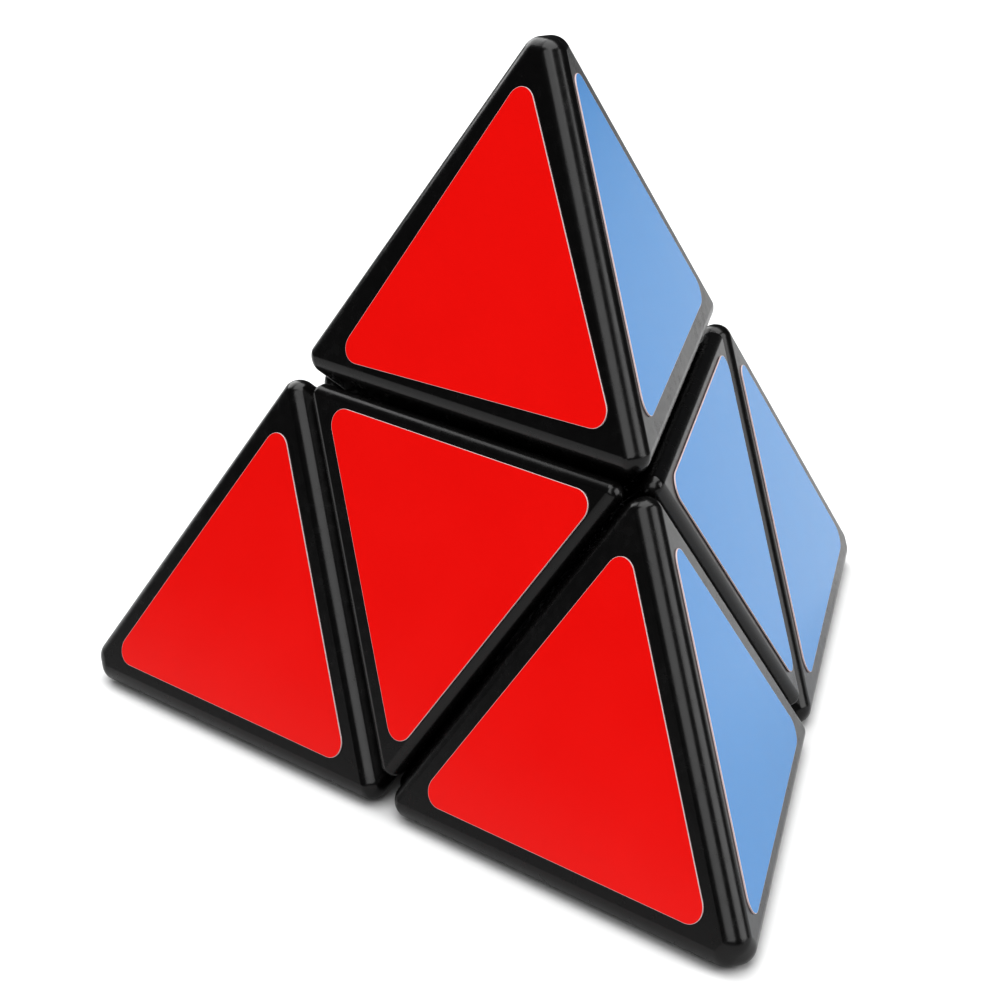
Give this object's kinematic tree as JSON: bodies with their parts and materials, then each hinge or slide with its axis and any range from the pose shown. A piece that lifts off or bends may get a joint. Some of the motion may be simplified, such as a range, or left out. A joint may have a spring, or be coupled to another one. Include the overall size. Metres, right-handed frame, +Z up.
{
  "type": "pyramid twisty puzzle",
  "caption": "Tetrahedral twisty puzzle whose coloured outer pieces turn by halves about the pyramid's two-fold axes on a hidden, spring-tensioned mechanism.",
  "frame": {"origin": "middle of the yellow face that the pyramid stands on, on the stickers' outer surface", "axes": "+Z up through the apex; -Y is the red face's side, so the red face's lower edge runs along X; +X to the right seen from the red face"},
  "size_m": [0.0924, 0.0804, 0.0756],
  "materials": {
    "cap_plastic": "moulded black ABS, glossy, with rounded edges",
    "mechanism_plastic": "moulded light grey plastic, satin, unpainted",
    "steel": "plain zinc-plated steel",
    "red_sticker": "glossy red vinyl with a thin white edge",
    "blue_sticker": "glossy light blue vinyl with a thin white edge",
    "green_sticker": "glossy green vinyl with a thin white edge",
    "yellow_sticker": "glossy yellow vinyl with a thin white edge"
  },
  "bodies": {
    "base_block": {"yellow_face_cap": "cap_plastic", "yellow_face_foot": "mechanism_plastic", "yellow_face_sticker": "yellow_sticker", "core": "mechanism_plastic", "fixed_centre_right": "mechanism_plastic", "fixed_centre_left": "mechanism_plastic", "fixed_centre_front": "mechanism_plastic", "tension_screws": "steel", "tension_washers": "steel", "tension_springs": "steel", "inner_edge_left_yellow": "mechanism_plastic", "inner_edge_right_yellow": "mechanism_plastic", "inner_edge_back_yellow": "mechanism_plastic"},
    "left_block": {"sprung_centre_left": "mechanism_plastic", "left_corner_cap": "cap_plastic", "left_corner_foot": "mechanism_plastic", "left_corner_yellow_sticker": "yellow_sticker", "left_corner_green_sticker": "green_sticker", "left_corner_red_sticker": "red_sticker", "inner_edge_left_green": "mechanism_plastic", "inner_edge_left_red": "mechanism_plastic"},
    "right_block": {"sprung_centre_right": "mechanism_plastic", "right_corner_cap": "cap_plastic", "right_corner_foot": "mechanism_plastic", "right_corner_yellow_sticker": "yellow_sticker", "right_corner_blue_sticker": "blue_sticker", "right_corner_red_sticker": "red_sticker", "inner_edge_right_blue": "mechanism_plastic", "inner_edge_right_red": "mechanism_plastic"},
    "back_block": {"sprung_centre_back": "mechanism_plastic", "back_corner_cap": "cap_plastic", "back_corner_foot": "mechanism_plastic", "back_corner_yellow_sticker": "yellow_sticker", "back_corner_blue_sticker": "blue_sticker", "back_corner_green_sticker": "green_sticker", "inner_edge_back_blue": "mechanism_plastic", "inner_edge_back_green": "mechanism_plastic"},
    "red_block": {"red_face_cap": "cap_plastic", "red_face_foot": "mechanism_plastic", "red_face_sticker": "red_sticker", "inner_edge_top_red": "mechanism_plastic"},
    "blue_block": {"blue_face_cap": "cap_plastic", "blue_face_foot": "mechanism_plastic", "blue_face_sticker": "blue_sticker", "inner_edge_top_blue": "mechanism_plastic"},
    "green_block": {"green_face_cap": "cap_plastic", "green_face_foot": "mechanism_plastic", "green_face_sticker": "green_sticker", "inner_edge_top_green": "mechanism_plastic"},
    "top_block": {"top_corner_cap": "cap_plastic", "top_corner_foot": "mechanism_plastic", "top_corner_blue_sticker": "blue_sticker", "top_corner_green_sticker": "green_sticker", "top_corner_red_sticker": "red_sticker"}
  },
  "joints": [
    {"name": "left_half_turn", "type": "hinge", "parent": "base_block", "child": "left_block", "pos_m": [0, 0, 0.02015], "axis": [-0.7071, -0.4082, 0.5774], "range_deg": [-360, 360]},
    {"name": "right_half_turn", "type": "hinge", "parent": "base_block", "child": "right_block", "pos_m": [0, 0, 0.02015], "axis": [0.7071, -0.4082, 0.5774], "continuous": true},
    {"name": "back_half_turn", "type": "hinge", "parent": "base_block", "child": "back_block", "pos_m": [0, 0, 0.02015], "axis": [0, 0.8165, 0.5774], "range_deg": [-360, 360]},
    {"name": "red_block_turn", "type": "hinge", "parent": "left_block", "child": "red_block", "pos_m": [0, 0, 0.02015], "axis": [0.7071, -0.4082, 0.5774], "continuous": true},
    {"name": "blue_block_turn", "type": "hinge", "parent": "right_block", "child": "blue_block", "pos_m": [0, 0, 0.02015], "axis": [0, 0.8165, 0.5774], "range_deg": [-360, 360]},
    {"name": "green_block_turn", "type": "hinge", "parent": "back_block", "child": "green_block", "pos_m": [0, 0, 0.02015], "axis": [-0.7071, -0.4082, 0.5774], "range_deg": [-360, 360]},
    {"name": "top_block_turn", "type": "hinge", "parent": "red_block", "child": "top_block", "pos_m": [0, 0, 0.02015], "axis": [0, 0.8165, 0.5774], "range_deg": [-360, 360]}
  ],
  "couplings": [
    {"joint": "red_block_turn", "follows": "right_half_turn", "ratio": 1},
    {"joint": "blue_block_turn", "follows": "back_half_turn", "ratio": 1},
    {"joint": "green_block_turn", "follows": "left_half_turn", "ratio": 1},
    {"joint": "top_block_turn", "follows": "back_half_turn", "ratio": 1}
  ]
}
